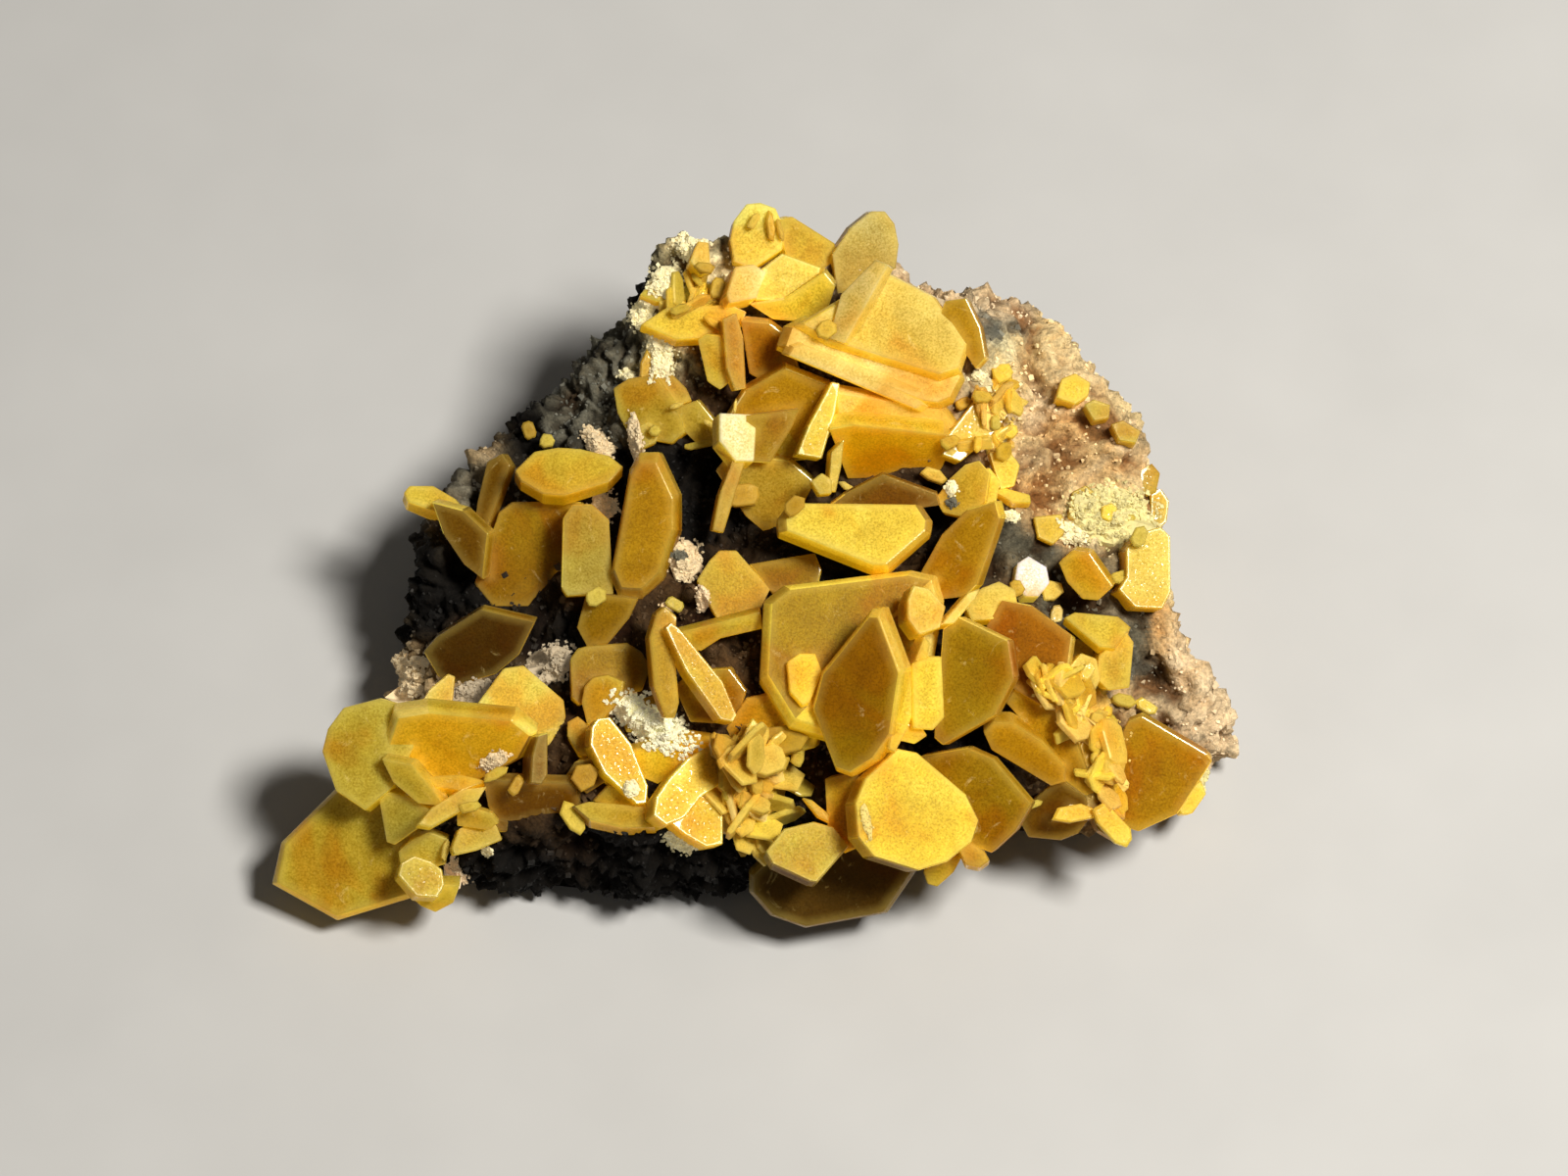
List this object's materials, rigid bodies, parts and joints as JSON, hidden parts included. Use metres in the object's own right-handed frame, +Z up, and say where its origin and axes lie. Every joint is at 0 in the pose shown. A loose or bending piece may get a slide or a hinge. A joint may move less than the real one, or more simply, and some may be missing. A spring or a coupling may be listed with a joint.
{
  "type": "wulfenite specimen",
  "caption": "Mineral specimen: flat square-cornered yellow wulfenite crystals grown in overlapping clusters over a lumpy slab of rock matrix.",
  "frame": {"origin": "on the flat underside of the rock, about the middle of its plan", "axes": "+X to the right along the row of front crystals, +Y to the back where the crest is, +Z up from the surface it rests on"},
  "size_m": [0.0697, 0.0488, 0.0294],
  "materials": {
    "matrix": "dry earthy limonite-stained rock",
    "wulfenite": "translucent honey yellow, finely frosted faces"
  },
  "bodies": {
    "root": {"matrix": "matrix", "tip_plate_cluster": "wulfenite", "centre_plate_cluster": "wulfenite", "top_table_cluster": "wulfenite", "square_plate_cluster": "wulfenite", "olive_fan_cluster": "wulfenite", "edge_olive_cluster": "wulfenite", "hanging_plate": "wulfenite", "shaded_plate": "wulfenite", "edge_block": "wulfenite", "glint_bar": "wulfenite", "white_flake": "wulfenite", "edge_blob": "wulfenite", "crust_tab": "wulfenite", "edge_crystal": "wulfenite", "edge_middle": "wulfenite", "edge_lower": "wulfenite", "capped_crystal": "wulfenite", "pale_tooth": "wulfenite", "yellow_foot": "wulfenite"}
  },
  "joints": []
}
